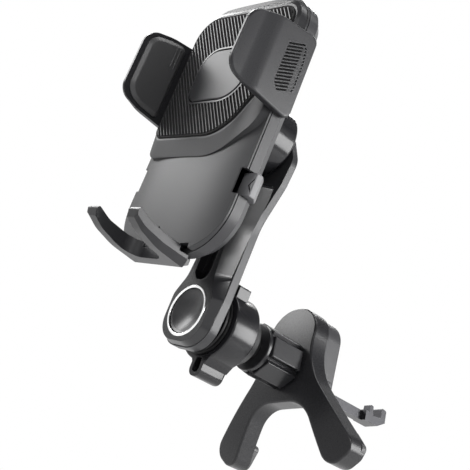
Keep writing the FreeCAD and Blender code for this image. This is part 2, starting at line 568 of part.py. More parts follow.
# Ball of the clip with its hollow shank through the ribbed nut; the hook's keys run in two windows
KEY_FRONT = 50.6
neck = ball(0, CLIP_BALL_Y, 0, BALL_R)
neck = neck.fuse(rod_y(0, 0, 5.4, CLIP_BALL_Y + 3.0, CLIP_Y - 0.06))
neck = neck.cut(rod_y(0, 0, 3.3, 32.0, 70.0))
for side in (1, -1):
    window = box(2.0, 8.0, KEY_FRONT - HOOK_TRAVEL - 0.6, CLIP_Y - 1.0, -1.3, 1.3)
    if side < 0:
        window = mirrored(window)
    neck = neck.cut(window)
NODES["clip_ball"] = neck.removeSplitter()
liner = ball(0, CLIP_BALL_Y, 0, LINER_OUT).cut(ball(0, CLIP_BALL_Y, 0, LINER_IN))
NODES["clip_ball_cup"] = liner.common(box(-20, 20, 0.0, CLIP_BALL_Y - 1.3, -20, 20))
liner = liner.common(box(-20, 20, CLIP_BALL_Y + 1.3, CLIP_BALL_Y + 5.0, -20, 20))
NODES["clip_ball_ring"] = liner.cut(rod_y(0, 0, 7.6, 0.0, 60.0))

# Ribbed nut: six flat grips with dark grooves between them
knob = rod_y(0, 0, KNOB_R - 1.3, KNOB_FRONT, KNOB_BACK)
lip = rod_y(0, 0, KNOB_R - 0.5, KNOB_FRONT - 0.9, KNOB_FRONT + 1.2)
lip = soften(lip, 0.6, lambda c, e: e.BoundBox.XLength > 18.0)
knob = knob.fuse(lip)
grips = []
for i in range(6):
    grip_block = box(6.0, KNOB_R - 0.2, KNOB_FRONT + 1.8, KNOB_BACK - 0.4, -4.45, 4.45)
    grip_block = soften(grip_block, 0.45, lambda c, e: c.x > KNOB_R - 0.4)
    grip_block.rotate(V(0, 0, 0), V(0, 1, 0), -(14.0 + 60.0 * i))
    grips.append(grip_block)
knob = knob.fuse(grips)
knob = knob.cut(rod_y(0, 0, 5.46, 0.0, 80.0))
NODES["ribbed_nut"] = knob.removeSplitter()

# Clip body: a dished plate with a round top and two splayed legs
clip_line = [(-13.95, 27.0, 13.8), (13.95, 27.0, 13.8), (12.8, 0.0, 32.0), (40.0, -34.4, 6.0),
             (26.8, -44.4, 6.0), (13.3, -16.5, 13.0), (-13.3, -16.5, 13.0), (-26.8, -44.4, 6.0),
             (-40.0, -34.4, 6.0), (-12.8, 0.0, 32.0)]
clip = slab_y(clip_line, 40.0, 90.0)
clip = clip.common(ball(0, DISH_Y, 0, DISH_R)).cut(ball(0, DISH_Y, 0, DISH_R - CLIP_THICK))
clip = soften(clip, 0.9, lambda c, e: e.Length > 3.0
              and abs((c - V(0, DISH_Y, 0)).Length - DISH_R) < 0.6 and math.hypot(c.x, c.z) > 12.0)
drawbar_room = box(-2.15, 2.15, 50.0, 90.0, -6.65, 0.0).fuse(rod_y(0, 0, 3.3, 50.0, 90.0))
clip = clip.cut(drawbar_room)
NODES["clip_body"] = turned(clip)

# Rear block that guides the hook, with a seam round it
block = slab_y([(-13.4, 25.0, 10.0), (-12.2, -12.0, 6.0), (12.2, -12.0, 6.0), (13.4, 25.0, 10.0)], 60.0, 77.0)
block = soften(block, 1.2, lambda c, e: abs(c.y - 77.0) < 0.01)
block = block.common(ball(0, DISH_Y, 0, DISH_R - CLIP_THICK - 0.02))
block = block.cut(box(-20.0, -12.2, 66.0, 80.0, -3.4, -2.8))
block = block.cut(box(12.2, 20.0, 66.0, 80.0, -3.4, -2.8))
block = block.cut(drawbar_room)
NODES["clip_rear_block"] = turned(block)

# Rubber pads behind the feet of the clip
pad_line = [(38.3, -32.6, 2.5), (36.6, -36.4, 5.0), (28.4, -42.9, 4.5), (25.2, -38.4, 3.0), (21.6, -31.0, 2.0),
            (31.5, -25.2, 2.0)]
vent_pad = slab_y(pad_line, 60.0, BEARING_Y).common(ball(0, DISH_Y, 0, DISH_R - CLIP_THICK - 0.02))
NODES["right_vent_pad"] = turned(vent_pad)
NODES["left_vent_pad"] = turned(mirrored(vent_pad))

# Hook: threaded stem in the ribbed nut, drawbar through the clip and an upward jaw at its end
stem = rod_y(0, 0, 3.2, 50.0, 76.4)
stem = stem.fuse(box(-2.0, 2.0, 73.6, 76.4, -6.5, 2.6))
bar = box(-2.0, 2.0, 73.6, HOOK_END - 12.0, HOOK_DROP - 2.2, HOOK_DROP + 2.2)
tail = slab_x([(110.0, -6.5, 0), (110.0, -2.1, 0), (112.4, -2.1, 0), (112.6, 1.4, 0.4), (114.6, 1.4, 0.6),
               (115.0, -2.6, 0.8), (120.6, -2.6, 0.8), (120.8, 2.6, 0.6), (HOOK_END, 2.2, 0.8), (HOOK_END, -3.6, 0),
               (119.0, -6.5, 0)], -2.6, 4.4)
tail = tail.cut(box(-3.0, 0.4, 112.0, 115.6, -0.6, 4.0))
hook = stem.fuse(bar).fuse(tail)
keys = box(-5.2, 5.2, KEY_FRONT, KEY_FRONT + 5.8, -1.0, 1.0)
NODES["hook"] = turned(hook.fuse(keys).removeSplitter())

# The shank has to stand turned with the clip, so that its windows meet the hook's keys
NODES["clip_ball"] = turned(NODES["clip_ball"])

os.makedirs("parts", exist_ok=True)
for name in sorted(NODES):
    shape = NODES[name].copy()
    if shape.ShapeType == "Compound" and len(shape.Solids) == 1:
        shape = shape.Solids[0].copy()
    shape.translate(V(0, -BEARING_Y, 0))
    box_here = shape.BoundBox
    print("%-22s solids %d valid %s  x %.1f %.1f  y %.1f %.1f  z %.1f %.1f  faces %d" % (
        name, len(shape.Solids), shape.isValid(), box_here.XMin, box_here.XMax, box_here.YMin, box_here.YMax,
        box_here.ZMin, box_here.ZMax, len(shape.Faces)))
    shape.exportStep("parts/" + name + ".step")
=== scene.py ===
import math
import bmesh
import bpy
from mathutils import Matrix, Vector


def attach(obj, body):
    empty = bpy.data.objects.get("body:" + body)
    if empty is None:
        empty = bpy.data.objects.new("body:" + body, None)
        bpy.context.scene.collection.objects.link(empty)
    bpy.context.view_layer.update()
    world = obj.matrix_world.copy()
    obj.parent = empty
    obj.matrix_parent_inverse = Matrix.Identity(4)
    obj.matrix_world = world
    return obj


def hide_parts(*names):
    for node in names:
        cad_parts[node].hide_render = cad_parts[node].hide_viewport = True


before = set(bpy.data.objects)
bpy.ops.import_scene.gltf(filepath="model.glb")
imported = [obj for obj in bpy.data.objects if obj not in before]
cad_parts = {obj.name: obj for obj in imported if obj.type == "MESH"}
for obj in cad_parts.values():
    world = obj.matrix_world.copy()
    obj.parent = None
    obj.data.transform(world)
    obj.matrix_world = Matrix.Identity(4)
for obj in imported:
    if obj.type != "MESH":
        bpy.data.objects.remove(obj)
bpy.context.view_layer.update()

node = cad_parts

# Camera: a long lens close to the holder, seen from its right side and a little from below.
# It is rolled, so that the upright arm leans to the right in the picture.
camera_data = bpy.data.cameras.new("studio_camera")
camera_data.lens = 76.6
camera_data.sensor_width = 36.0
camera_data.clip_start = 0.01
camera_data.clip_end = 50.0
camera = bpy.data.objects.new("studio_camera", camera_data)
camera.location = (0.31585, -0.30090, -0.06409)
camera.rotation_euler = (1.841363, -0.374682, 0.832252)
bpy.context.scene.collection.objects.link(camera)
bpy.context.scene.camera = camera
bpy.context.scene.view_settings.view_transform = "Standard"

# Studio: a pale floor well under the holder in a white room. Camera, gloss and glass see the room white,
# with a dim ceiling for gloss, as under a softbox grid; matt surfaces get only a soft even fill from it.
# The floor glows a little for the same rays, so that its far part doesn't look dark.
FLOOR_Z = -0.36
FLOOR_COLOUR = "#dcdcdc"
FLOOR_GLOW = 0.55
FILL = 0.35
CEILING = 0.08


def linear(code):
    """sRGB hex colour as linear RGBA."""
    values = [int(code[i:i + 2], 16) / 255.0 for i in (1, 3, 5)]
    return tuple(v / 12.92 if v <= 0.04045 else ((v + 0.055) / 1.055) ** 2.4 for v in values) + (1.0,)


def add_node(tree, kind, settings=None, links=None):
    """Adds one node: settings are its properties or input values, links go into its inputs."""
    made = tree.nodes.new(kind)
    for key, value in (settings or {}).items():
        if isinstance(key, int) or key in made.inputs:
            made.inputs[key].default_value = value
        else:
            setattr(made, key, value)
    for key, source in (links or {}).items():
        tree.links.new(source, made.inputs[key])
    return made


def new_material(name):
    """A new material with an empty node tree."""
    material = bpy.data.materials.new(name)
    material.use_nodes = True
    material.node_tree.nodes.clear()
    return material, material.node_tree


def seen_by(tree):
    """Two values: 1 for camera and transmission rays, and 1 for these and glossy rays."""
    rays = add_node(tree, "ShaderNodeLightPath")
    direct = add_node(tree, "ShaderNodeMath", {"operation": "MAXIMUM"},
                      {0: rays.outputs["Is Camera Ray"], 1: rays.outputs["Is Transmission Ray"]})
    seen = add_node(tree, "ShaderNodeMath", {"operation": "MAXIMUM"},
                    {0: direct.outputs[0], 1: rays.outputs["Is Glossy Ray"]})
    return direct.outputs[0], seen.outputs[0]


world = bpy.data.worlds.new("white_room")
world.use_nodes = True
world.node_tree.nodes.clear()
bpy.context.scene.world = world
room = world.node_tree
direct, seen = seen_by(room)
facing = add_node(room, "ShaderNodeTexCoord")
height = add_node(room, "ShaderNodeSeparateXYZ", {}, {0: facing.outputs["Generated"]})
ceiling = add_node(room, "ShaderNodeMapRange",
                   {1: 0.50, 2: 0.68, 3: 1.0, 4: CEILING, "interpolation_type": "SMOOTHSTEP"},
                   {0: height.outputs["Z"]})
level = add_node(room, "ShaderNodeMath", {"operation": "MAXIMUM"}, {0: direct, 1: ceiling.outputs[0]})
white = add_node(room, "ShaderNodeBackground", {"Color": linear("#ffffff")}, {"Strength": level.outputs[0]})
fill = add_node(room, "ShaderNodeBackground", {"Color": linear("#ffffff"), "Strength": FILL})
mixed = add_node(room, "ShaderNodeMixShader", {}, {0: seen, 1: fill.outputs[0], 2: white.outputs[0]})
add_node(room, "ShaderNodeOutputWorld", {}, {"Surface": mixed.outputs[0]})

bpy.ops.object.select_all(action="DESELECT")
bpy.ops.mesh.primitive_plane_add(size=8.0, location=(0, 0, FLOOR_Z))
floor = bpy.context.active_object
floor.name = "studio_floor"
floor_paper, tree = new_material("paper_backdrop")
direct, seen = seen_by(tree)
glow = add_node(tree, "ShaderNodeMath", {"operation": "MULTIPLY", 1: FLOOR_GLOW}, {0: seen})
paper = linear(FLOOR_COLOUR)
shade = add_node(tree, "ShaderNodeBsdfPrincipled",
                 {"Base Color": paper, "Roughness": 0.9, "Emission Color": paper},
                 {"Emission Strength": glow.outputs[0]})
add_node(tree, "ShaderNodeOutputMaterial", {}, {"Surface": shade.outputs[0]})
floor.data.materials.append(floor_paper)

# Softboxes, aimed at the middle of the holder: a large one ahead and to the left, which the front
# faces mirror, one behind on the right for the side walls, and smaller ones and strips for the edges.
AIM = Vector((0.0, -0.06, 0.03))
SOFTBOXES = {   # name: (direction from the aim, distance, width, height, brightness beside the white room)
    "left_front_softbox": ((-0.79, -0.51, 0.46), 1.3, 0.54, 0.52, 8.6),
    "right_rear_softbox": ((0.75, 0.62, 0.13), 1.3, 0.62, 0.70, 16.0),
    "left_rear_softbox": ((-0.78, 0.14, 0.62), 1.3, 0.35, 0.30, 12.0),
    "top_rear_softbox": ((-0.50, 0.52, 0.69), 1.3, 0.40, 0.22, 16.0),
    "front_key": ((-0.33, -0.68, 0.66), 1.3, 0.35, 0.30, 5.0),
    "front_strip": ((0.26, -0.92, 0.30), 1.3, 0.08, 0.50, 6.0),
    "camera_side_strip": ((0.73, -0.57, 0.42), 1.3, 0.40, 0.10, 38.0),
    "top_strip": ((0.10, 0.10, 1.0), 1.0, 0.25, 0.9, 8.0),
}
for name, (direction, distance, width, tall, radiance) in SOFTBOXES.items():
    data = bpy.data.lights.new(name, "AREA")
    data.shape = "RECTANGLE"
    data.size = width
    data.size_y = tall
    data.energy = radiance * math.pi * width * tall
    lamp = bpy.data.objects.new(name, data)
    lamp.location = AIM + Vector(direction).normalized() * distance
    lamp.rotation_euler = (AIM - lamp.location).to_track_quat("-Z", "Y").to_euler()
    bpy.context.scene.collection.objects.link(lamp)

# Cradle housing: rear shell and front cover of black ABS with a spark-eroded mould texture, plus the
# smooth leaf-shaped plate in the middle of the pad. The grit is about 0.25 mm, the edges are broken by
# a quarter of a millimetre, and the flow of the plastic leaves the colour faintly uneven.
CLOUD = 0.06        # how far the colour drifts
GLOSS_DRIFT = 0.04  # how far the roughness drifts
# Near-black painted into the bottoms of grooves as shade.
PAINTED_GROOVE_SHADE = "#050506"


def moulded_plastic(name, colour, roughness, grit_mm, depth_mm, specular=0.24, edge_mm=0.25, polish_and_painted_shade=None):
    """Moulded plastic or rubber: colour drifts a little over the part, grit gives bump and uneven gloss.

    Where the mask is 0, as in the bottom of a groove, the colour is painted near-black as shade and the
    surface is matt.
    """
    material, tree = new_material(name)
    place = add_node(tree, "ShaderNodeTexCoord")
    drift = add_node(tree, "ShaderNodeTexNoise", {"Scale": 38.0, "Detail": 3.0, "Roughness": 0.5},
                     {"Vector": place.outputs["Object"]})
    base = linear(colour)
    dark = tuple(c * (1.0 - CLOUD) for c in base[:3]) + (1.0,)
    bright = tuple(min(1.0, c * (1.0 + CLOUD)) for c in base[:3]) + (1.0,)
    tone = add_node(tree, "ShaderNodeMix", {"data_type": "RGBA", 6: dark, 7: bright},
                    {0: drift.outputs["Fac"]})
    grit = add_node(tree, "ShaderNodeTexNoise",
                    {"Scale": 1000.0 / grit_mm, "Detail": 2.0, "Roughness": 0.6},
                    {"Vector": place.outputs["Object"]})
    sheen = add_node(tree, "ShaderNodeMapRange",
                     {1: 0.3, 2: 0.7, 3: roughness - GLOSS_DRIFT, 4: roughness + GLOSS_DRIFT},
                     {0: grit.outputs["Fac"]})
    edge = add_node(tree, "ShaderNodeBevel", {"samples": 6, "Radius": edge_mm / 1000.0})
    bump = add_node(tree, "ShaderNodeBump", {"Strength": 1.0, "Distance": depth_mm / 1000.0},
                    {"Height": grit.outputs["Fac"], "Normal": edge.outputs[0]})
    shade = add_node(tree, "ShaderNodeBsdfPrincipled", {"IOR": 1.53, "Specular IOR Level": specular},
                     {"Base Color": tone.outputs[2], "Roughness": sheen.outputs[0],
                      "Normal": bump.outputs[0]})
    if polish_and_painted_shade is not None:
        unshaded_and_polished = polish_and_painted_shade(tree, place)
        # Where the mask is 0, the colour is painted near-black as shade and the roughness goes matt.
        dull = add_node(tree, "ShaderNodeMix", {"data_type": "RGBA", 6: linear(PAINTED_GROOVE_SHADE)},
                        {0: unshaded_and_polished, 7: tone.outputs[2]})
        matt = add_node(tree, "ShaderNodeMix", {"data_type": "FLOAT", 2: 0.9},
                        {0: unshaded_and_polished, 3: sheen.outputs[0]})
        tree.links.new(dull.outputs[2], shade.inputs["Base Color"])
        tree.links.new(matt.outputs[0], shade.inputs["Roughness"])
    add_node(tree, "ShaderNodeOutputMaterial", {}, {"Surface": shade.outputs[0]})
    return material


def dress(material, *names):
    """Gives CAD nodes their material."""
    for name in names:
        mesh = node[name].data
        mesh.materials.clear()
        mesh.materials.append(material)


dress(moulded_plastic("satin_abs", "#262628", 0.36, 0.25, 0.008), "front_cover", "pad_island")
# The rear shell is the same ABS as the cover but coloured lighter, as painted light on its side wall, which
# the right-hand softbox lights.
dress(moulded_plastic("shell_abs_painted_light", "#303032", 0.36, 0.25, 0.008), "rear_shell")

# Phone pad: black thermoplastic rubber moulded in one piece, slanted round-topped ribs inside a raised
# rim, with an opening for the leaf-shaped plate. One rib is modelled and repeated, then cut to the rim.
# The tops of the ribs shine faintly, and the grooves are painted deep black as shade.


def spot(x, y, z):
    """Place in metres from millimetres, with y counted from the front face of the arm."""
    return Vector((x, y - 75.0, z)) / 1000.0


def start_edit():
    """Edit mode with all of the active piece selected."""
    bpy.ops.object.mode_set(mode="EDIT")
    bpy.ops.mesh.select_all(action="SELECT")


def pick(piece, kind, test):
    """In edit mode, selects the vertices, edges or faces whose middle and item pass the test."""
    bpy.ops.mesh.select_mode(type=kind)
    bpy.ops.mesh.select_all(action="DESELECT")
    mesh = bmesh.from_edit_mesh(piece.data)
    for item in {"VERT": mesh.verts, "EDGE": mesh.edges, "FACE": mesh.faces}[kind]:
        corners = [item.co] if kind == "VERT" else [v.co for v in item.verts]
        if test(sum(corners, Vector()) / len(corners), item):
            item.select_set(True)
    bmesh.update_edit_mesh(piece.data)


def cut_plate(name, corners, place, depth):
    """A plate cut to a convex outline; depth leads from its front to its back.

    A corner is (across, up, radius) in millimetres, and place turns the first two into a point.
    """
    count = len(corners)
    points = [place(c[0], c[1]) for c in corners]
    middle = sum(points, Vector()) / count
    across = (place(1.0, 0.0) - place(0.0, 0.0)).normalized()
    up = (place(0.0, 1.0) - place(0.0, 0.0)).normalized()
    face = across.cross(up)
    bpy.ops.object.select_all(action="DESELECT")
    bpy.ops.mesh.primitive_plane_add(size=0.3)
    plate = bpy.context.active_object
    plate.name = name
    plate.matrix_world = Matrix.Translation(middle) @ Matrix((across, up, face)).transposed().to_4x4()
    bpy.ops.object.transform_apply(location=True, rotation=True, scale=True)
    bpy.ops.object.mode_set(mode="EDIT")
    for i in range(count):
        out = (points[(i + 1) % count] - points[i]).cross(face).normalized()
        out = out if out.dot(points[i] - middle) > 0.0 else -out
        bpy.ops.mesh.select_all(action="SELECT")
        bpy.ops.mesh.bisect(plane_co=points[i], plane_no=out, clear_outer=True)
    for i in range(count):
        angle = (points[i - 1] - points[i]).angle(points[(i + 1) % count] - points[i])
        cut_back = corners[i][2] / 1000.0 / math.tan(angle / 2.0)
        pick(plate, "VERT", lambda m, v: (m - points[i]).length < 0.00005)
        bpy.ops.mesh.bevel(offset=cut_back, segments=8, affect="VERTICES")
    bpy.ops.mesh.select_all(action="SELECT")
    bpy.ops.mesh.extrude_region_move(TRANSFORM_OT_translate={"value": depth})
    bpy.ops.mesh.select_all(action="SELECT")
    bpy.ops.mesh.normals_make_consistent(inside=False)
    bpy.ops.object.mode_set(mode="OBJECT")
    return plate


def plate_y(name, corners, y_front, thick):
    """A plate that faces forward, its corners in x and z, cut with cut_plate; measures in millimetres."""
    return cut_plate(name, corners, lambda u, v: spot(u, y_front, v), Vector((0, thick / 1000.0, 0)))


def round_edges(piece, round_mm, segments, test):
    """Rounds the edges that pass the test."""
    bpy.ops.object.mode_set(mode="EDIT")
    pick(piece, "EDGE", test)
    bpy.ops.mesh.bevel(offset=round_mm / 1000.0, segments=segments, affect="EDGES")
    bpy.ops.object.mode_set(mode="OBJECT")


def bar(name, low, high, round_mm, test):
    """A straight bar between two corners, with the edges that pass the test rounded."""
    bpy.ops.object.select_all(action="DESELECT")
    bpy.ops.mesh.primitive_cube_add(size=1.0, location=(low + high) / 2.0, scale=high - low)
    made = bpy.context.active_object
    made.name = name
    bpy.ops.object.transform_apply(location=True, rotation=True, scale=True)
    round_edges(made, round_mm, 3, test)
    return made


def boolean(piece, tool, operation, keep_tool=False):
    """Cuts or joins piece with tool and applies it."""
    bpy.ops.object.select_all(action="DESELECT")
    bpy.context.view_layer.objects.active = piece
    cut = piece.modifiers.new("cut", "BOOLEAN")
    cut.operation = operation
    cut.object = tool
    cut.solver = "EXACT"
    bpy.ops.object.modifier_apply(modifier="cut")
    if not keep_tool:
        bpy.data.objects.remove(tool, do_unlink=True)


def finished(parts, name, material, replaced, body):
    """Several modelled shapes as one piece, smooth except at its edges, in place of its CAD node."""
    bpy.ops.object.select_all(action="DESELECT")
    for part in parts:
        part.select_set(True)
    bpy.context.view_layer.objects.active = parts[0]
    if len(parts) > 1:
        bpy.ops.object.join()
    piece = bpy.context.active_object
    piece.name = name
    bpy.ops.object.transform_apply(location=True, rotation=True, scale=True)
    bpy.ops.object.shade_smooth_by_angle(angle=math.radians(35.0))
    piece.data.materials.clear()
    piece.data.materials.append(material)
    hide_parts(replaced)
    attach(piece, body)
    return piece


PAD_MIDDLE = spot(0, 75, 92)
PAD_EDGE = [(-30.2, 63.0, 4.0), (14.0, 63.0, 20.5), (29.8, 87.2, 18.0), (29.8, 119.6, 7.0),
            (-30.4, 120.4, 11.0)]
RIB_FIELD = [(-29.3, 63.9, 3.2), (13.5, 63.9, 19.5), (28.9, 87.5, 17.0), (28.9, 118.7, 6.2),
             (-29.5, 119.5, 10.2)]
OPENING_RIM = [(-18.3, 77.7, 5.8), (17.3, 77.7, 13.8), (17.3, 104.1, 5.8), (-18.3, 104.1, 9.8)]
OPENING = [(-17.5, 78.5, 5.2), (16.5, 78.5, 13.2), (16.5, 103.3, 5.2), (-17.5, 103.3, 9.2)]
RIM_FRONT = -27.75
RIB_FRONT = -27.9
RIB_BACK = -27.1
RIB_HALF = 0.3
RIB_PITCH = 1.64
RIB_LEAN = 37.4
RIBS = 68
FIRST_RIB = -33.5 * RIB_PITCH

rubber_sheet = plate_y("rubber_sheet", PAD_EDGE, RIM_FRONT, 1.4)
bpy.ops.object.mode_set(mode="EDIT")
pick(rubber_sheet, "FACE", lambda m, f: len(f.verts) > 8 and m.y < spot(0, RIM_FRONT + 0.05, 0).y)
bpy.ops.mesh.inset(thickness=0.0008, depth=-0.0005)
round_edges(rubber_sheet, 0.18, 2, lambda m, e: m.y < spot(0, RIM_FRONT + 0.01, 0).y)

rib_low = spot(FIRST_RIB - RIB_HALF, RIB_FRONT, 20.0)
rib_high = spot(FIRST_RIB + RIB_HALF, RIB_BACK, 165.0)
ribs = bar("pad_ribs", rib_low, rib_high, 0.2, lambda m, e: m.y < spot(0, RIB_FRONT + 0.1, 0).y
           and abs(e.verts[0].co.z - e.verts[1].co.z) > 0.01)
repeat = ribs.modifiers.new("repeat", "ARRAY")
repeat.count = RIBS
repeat.use_relative_offset = False
repeat.use_constant_offset = True
repeat.constant_offset_displace = (RIB_PITCH / 1000.0, 0, 0)
bpy.ops.object.modifier_apply(modifier="repeat")
turn = Matrix.Rotation(math.radians(-RIB_LEAN), 4, "Y")
ribs.matrix_world = Matrix.Translation(PAD_MIDDLE) @ turn @ Matrix.Translation(-PAD_MIDDLE)
bpy.ops.object.transform_apply(location=True, rotation=True, scale=True)
boolean(ribs, plate_y("rib_field", RIB_FIELD, -29.0, 3.0), "INTERSECT")

opening_rim = plate_y("opening_rim", OPENING_RIM, RIB_FRONT, 0.8)
opening = plate_y("opening", OPENING, -30.0, 3.2)
boolean(ribs, plate_y("rim_room", OPENING_RIM, -30.0, 4.0), "DIFFERENCE")
boolean(opening_rim, opening, "DIFFERENCE", keep_tool=True)
boolean(rubber_sheet, opening, "DIFFERENCE")


def rib_tops_and_groove_shade(tree, place):
    """1 on the tops of the ribs, which the phone has polished, and 0 down in the grooves, where the colour
    is painted dark as shade.
    """
    along = add_node(tree, "ShaderNodeSeparateXYZ", {}, {0: place.outputs["Object"]})
    top = add_node(tree, "ShaderNodeMapRange", {1: spot(0, -27.68, 0).y, 2: spot(0, -27.86, 0).y},
                   {0: along.outputs["Y"]})
    return top.outputs[0]


# The grooves between the ribs get painted shade from the mask below.
pad_rubber = moulded_plastic("black_thermoplastic_rubber", "#262628", 0.34, 0.30, 0.003, specular=0.5,
                             edge_mm=0.10, polish_and_painted_shade=rib_tops_and_groove_shade)
finished([rubber_sheet, ribs, opening_rim], "ribbed_phone_pad", pad_rubber, "phone_pad", "cradle")

# Clamp arms: two bent ABS paddles, satin outside, each carrying a rack inside the cradle. The front third
# of a paddle steps inward by a millimetre, which shows as a soft dark band down the middle, and the
# slits of the grip patch are matt inside, where the mould isn't polished, with painted shade darkening
# their colour.
ARM_IN = 33.4
ARM_OUT = 36.2
BEND = -37.5
STEP_FRONT = -43.5
STEP_BACK = -34.5
STEP_DEPTH = 1.1
STEP_CUTS = 24


def dark_inside(low, high):
    """Mask that is 0 between two corners in millimetres, where the colour is painted dark as shade and
    matt, the same on both sides of the holder.
    """
    def polish_and_painted_shade(tree, place):
        along = add_node(tree, "ShaderNodeSeparateXYZ", {}, {0: place.outputs["Object"]})
        across = add_node(tree, "ShaderNodeMath", {"operation": "ABSOLUTE"}, {0: along.outputs["X"]})
        places = (across.outputs[0], along.outputs["Y"], along.outputs["Z"])
        near = []
        for value, a, b in zip(places, spot(*low), spot(*high)):
            within = {"operation": "COMPARE", 1: (a + b) / 2.0, 2: (b - a) / 2.0}
            near.append(add_node(tree, "ShaderNodeMath", within, {0: value}).outputs[0])
        two = add_node(tree, "ShaderNodeMath", {"operation": "MULTIPLY"}, {0: near[0], 1: near[1]})
        three = add_node(tree, "ShaderNodeMath", {"operation": "MULTIPLY"}, {0: two.outputs[0], 1: near[2]})
        outside = add_node(tree, "ShaderNodeMath", {"operation": "SUBTRACT", 0: 1.0}, {1: three.outputs[0]})
        return outside.outputs[0]
    return polish_and_painted_shade


def clamp_paddle(name, side, replaced, body):
    """The solid paddle with the soft step pressed in outside; side is 1 on the right and -1 on the left."""
    paddle = bpy.data.objects.new(name, node[replaced].data.copy())
    bpy.context.scene.collection.objects.link(paddle)
    bpy.ops.object.select_all(action="DESELECT")
    bpy.context.view_layer.objects.active = paddle
    start_edit()
    bpy.ops.mesh.remove_doubles(threshold=0.00001)
    for i in range(STEP_CUTS + 6):
        y = STEP_FRONT + i * (STEP_BACK - STEP_FRONT) / STEP_CUTS
        bpy.ops.mesh.select_all(action="SELECT")
        bpy.ops.mesh.bisect(plane_co=spot(0, y, 0), plane_no=(0, 1, 0))
    outer = {}
    for v in bmesh.from_edit_mesh(paddle.data).verts:
        y = v.co.y * 1000.0 + 75.0
        half_way = (ARM_IN + ARM_OUT) / 2.0 - max(0.0, BEND - y) * 0.05
        if y < STEP_BACK and abs(v.co.x) * 1000.0 > half_way:
            outer.setdefault(max(round(y, 2), STEP_FRONT), set()).add(v.index)
    for y, rows in outer.items():
        part = (STEP_BACK - y) / (STEP_BACK - STEP_FRONT)
        inward = STEP_DEPTH / 1000.0 * part * part * (3.0 - 2.0 * part)
        pick(paddle, "VERT", lambda m, v: v.index in rows)
        bpy.ops.transform.translate(value=(-side * inward, 0, 0))
    bpy.ops.object.mode_set(mode="OBJECT")
    finished([paddle], name, paddle_abs, replaced, body)
    bpy.ops.object.shade_smooth_by_angle(angle=math.radians(2.5))


# Inside the slits of the grip patch the colour is painted dark as shade.
paddle_abs = moulded_plastic("paddle_abs", "#262628", 0.30, 0.25, 0.004, edge_mm=0.15,
                             polish_and_painted_shade=dark_inside((34.9, -30.5, 79.0), (35.62, -19.15, 105.0)))
clamp_paddle("right_stepped_paddle", 1, "right_clamp_arm", "right_arm")
clamp_paddle("left_stepped_paddle", -1, "left_clamp_arm", "left_arm")

# Clamp pads: soft black silicone let into the inner side of each paddle, with a wide bevel round a flat
# face and two fine ribs near the cradle that grip the phone's edge.
PAD_BEND = 2.54
GRIP_RIBS = (-33.6, -31.9)
silicone = moulded_plastic("black_silicone", "#3c3c3d", 0.42, 0.50, 0.004, specular=0.35, edge_mm=0.2)


def clamp_pad(name, side, low, top, replaced, body):
    """Pad of one arm between two heights; side is 1 on the right and -1 on the left."""
    edge = [(-28.7, low + 2.5, 2.2), (-28.7, top - 2.8, 2.2), (-36.0, top - 3.6, 30.0),
            (-46.8, top - 7.1, 6.5), (-47.0, low + 5.9, 6.8), (-39.0, low + 3.5, 20.0)]
    pad = cut_plate(name, edge, lambda u, v: spot(side * (ARM_IN - 0.55), u, v),
                    Vector((side * 0.0005, 0, 0)))
    bpy.ops.object.mode_set(mode="EDIT")
    pick(pad, "FACE", lambda m, f: len(f.verts) > 8 and abs(m.x) < (ARM_IN - 0.5) / 1000.0)
    bpy.ops.mesh.inset(thickness=0.0016, depth=0.0012)
    round_edges(pad, 0.4, 3, lambda m, e: abs(m.x) < (ARM_IN - 1.7) / 1000.0)
    start_edit()
    bpy.ops.mesh.bisect(plane_co=spot(0, BEND, 0), plane_no=(0, 1, 0))
    pick(pad, "VERT", lambda m, v: m.y < spot(0, BEND - 0.1, 0).y)
    bpy.ops.transform.rotate(value=side * math.radians(PAD_BEND), orient_axis="Z",
                             center_override=spot(side * ARM_IN, BEND, 90.0))
    bpy.ops.object.mode_set(mode="OBJECT")
    parts = [pad]
    for y in GRIP_RIBS:
        ends = sorted((side * (ARM_IN - 2.05), side * (ARM_IN - 1.2)))
        parts.append(bar("grip_rib", spot(ends[0], y, top - 14.6), spot(ends[1], y + 0.4, top - 5.4), 0.12,
                         lambda m, e: True))
    finished(parts, name, silicone, replaced, body)


clamp_pad("right_silicone_pad", 1, 74.0, 109.6, "right_clamp_pad", "right_arm")
clamp_pad("left_silicone_pad", -1, 69.0, 108.6, "left_clamp_pad", "left_arm")

# Racks and pinion inside the cradle: injection-moulded black acetal, whose fine skin looks slightly waxy.
# The racks are fixed to the paddles and mesh with the pinion, so that both arms move together.
acetal = moulded_plastic("black_acetal", "#1d1d1e", 0.42, 0.30, 0.003, specular=0.4)
dress(acetal, "left_rack", "right_rack", "clamp_pinion")

# Release buttons: small satin ABS blocks, moulded in one piece and let into the sides of the cradle, where
# a spring pushes them out. The arrow is sunk half a millimetre into the front, and its inside is painted
# dark as shade.
# Inside the sunk arrow the colour is painted dark as shade.
button_abs = moulded_plastic("button_abs", "#606062", 0.32, 0.25, 0.004, edge_mm=0.12,
                             polish_and_painted_shade=dark_inside((33.3, -19.95, 41.6), (36.15, -19.3, 48.2)))
dress(button_abs, "right_release_button", "left_release_button")

# Foot: two curved prongs with a gap for the charging cable, moulded of satin ABS like the cover. Its two
# rails run in the bottom of the cradle, so that it can be pulled out for a taller phone.
dress(moulded_plastic("foot_abs", "#242426", 0.34, 0.25, 0.006), "foot_bracket")

